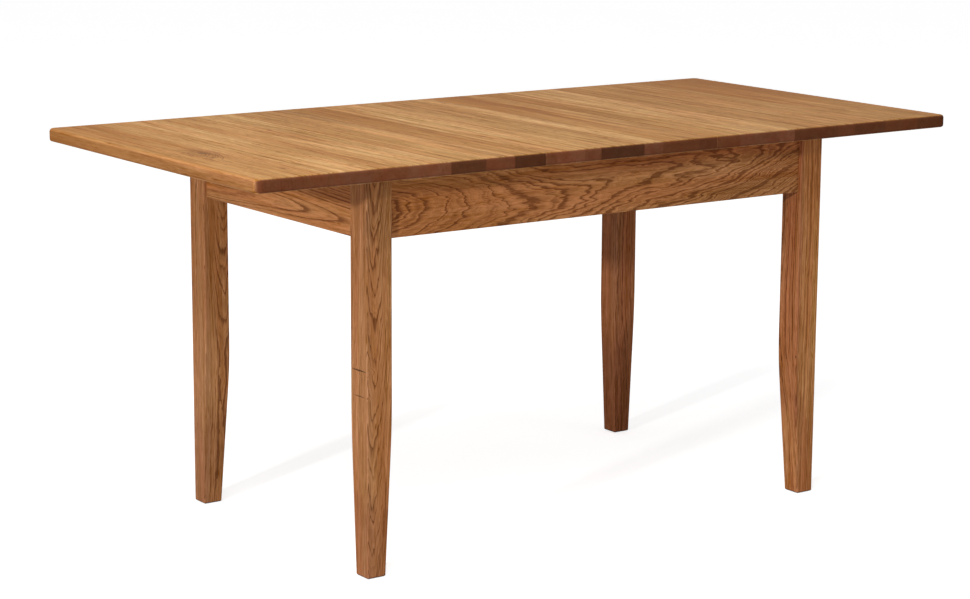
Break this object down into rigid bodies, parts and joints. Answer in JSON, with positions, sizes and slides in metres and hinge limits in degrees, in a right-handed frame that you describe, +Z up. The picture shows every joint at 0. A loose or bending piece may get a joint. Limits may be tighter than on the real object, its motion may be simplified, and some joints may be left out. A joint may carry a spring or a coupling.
{
  "type": "extending dining table",
  "caption": "Extending dining table: tapered legs and straight aprons carry half tops that slide apart on runners, with a lift-out centre leaf held between them.",
  "frame": {"origin": "on the floor, under the middle of the open table", "axes": "+X along the length to the right half top, +Y from the front edge to the back edge, +Z up"},
  "size_m": [1.6, 0.79, 0.76],
  "materials": {
    "oak_top": "oiled oak staves running front to back",
    "oak_legs": "oiled oak, upright grain",
    "oak_aprons": "oiled flat-sawn oak",
    "plain_hardwood": "unfinished beech",
    "zinc_steel": "zinc plated",
    "glide_plastic": "moulded"
  },
  "bodies": {
    "frame": {"leg_front_left": "oak_legs", "leg_front_right": "oak_legs", "leg_rear_right": "oak_legs", "leg_rear_left": "oak_legs", "foot_glide_front_left": "glide_plastic", "foot_glide_front_right": "glide_plastic", "foot_glide_rear_right": "glide_plastic", "foot_glide_rear_left": "glide_plastic", "corner_block_front_left": "plain_hardwood", "corner_block_front_right": "plain_hardwood", "corner_block_rear_right": "plain_hardwood", "corner_block_rear_left": "plain_hardwood", "apron_front": "oak_aprons", "apron_rear": "oak_aprons", "apron_left": "oak_aprons", "apron_right": "oak_aprons", "cross_rail_left": "plain_hardwood", "cross_rail_right": "plain_hardwood", "track_rail_front": "plain_hardwood", "track_rail_rear": "plain_hardwood", "hanger_bolts": "zinc_steel", "bolt_washers": "zinc_steel", "bolt_nuts": "zinc_steel", "block_screws": "zinc_steel", "track_screws": "zinc_steel"},
    "left_half": {"top_half_left": "oak_top", "runner_left_front": "plain_hardwood", "runner_left_rear": "plain_hardwood", "stop_block_left_front": "plain_hardwood", "stop_block_left_rear": "plain_hardwood", "seam_plate_left_1": "zinc_steel", "seam_plate_left_2": "zinc_steel", "runner_screws_left": "zinc_steel", "stop_screws_left": "zinc_steel", "plate_screws_left": "zinc_steel"},
    "right_half": {"top_half_right": "oak_top", "runner_right_front": "plain_hardwood", "runner_right_rear": "plain_hardwood", "stop_block_right_front": "plain_hardwood", "stop_block_right_rear": "plain_hardwood", "seam_plate_right_1": "zinc_steel", "seam_plate_right_2": "zinc_steel", "runner_screws_right": "zinc_steel", "stop_screws_right": "zinc_steel", "plate_screws_right": "zinc_steel"},
    "leaf": {"centre_leaf": "oak_top", "leaf_batten_front": "plain_hardwood", "leaf_batten_rear": "plain_hardwood", "batten_screws": "zinc_steel"}
  },
  "joints": [
    {"name": "left_half_slide", "type": "slide", "parent": "frame", "child": "left_half", "axis": [-1, 0, 0], "range_m": [0, 0.035]},
    {"name": "right_half_slide", "type": "slide", "parent": "frame", "child": "right_half", "axis": [1, 0, 0], "range_m": [0, 0.035]},
    {"name": "leaf_lift", "type": "slide", "parent": "frame", "child": "leaf", "axis": [0, 0, 1], "range_m": [0, 0.15]}
  ]
}
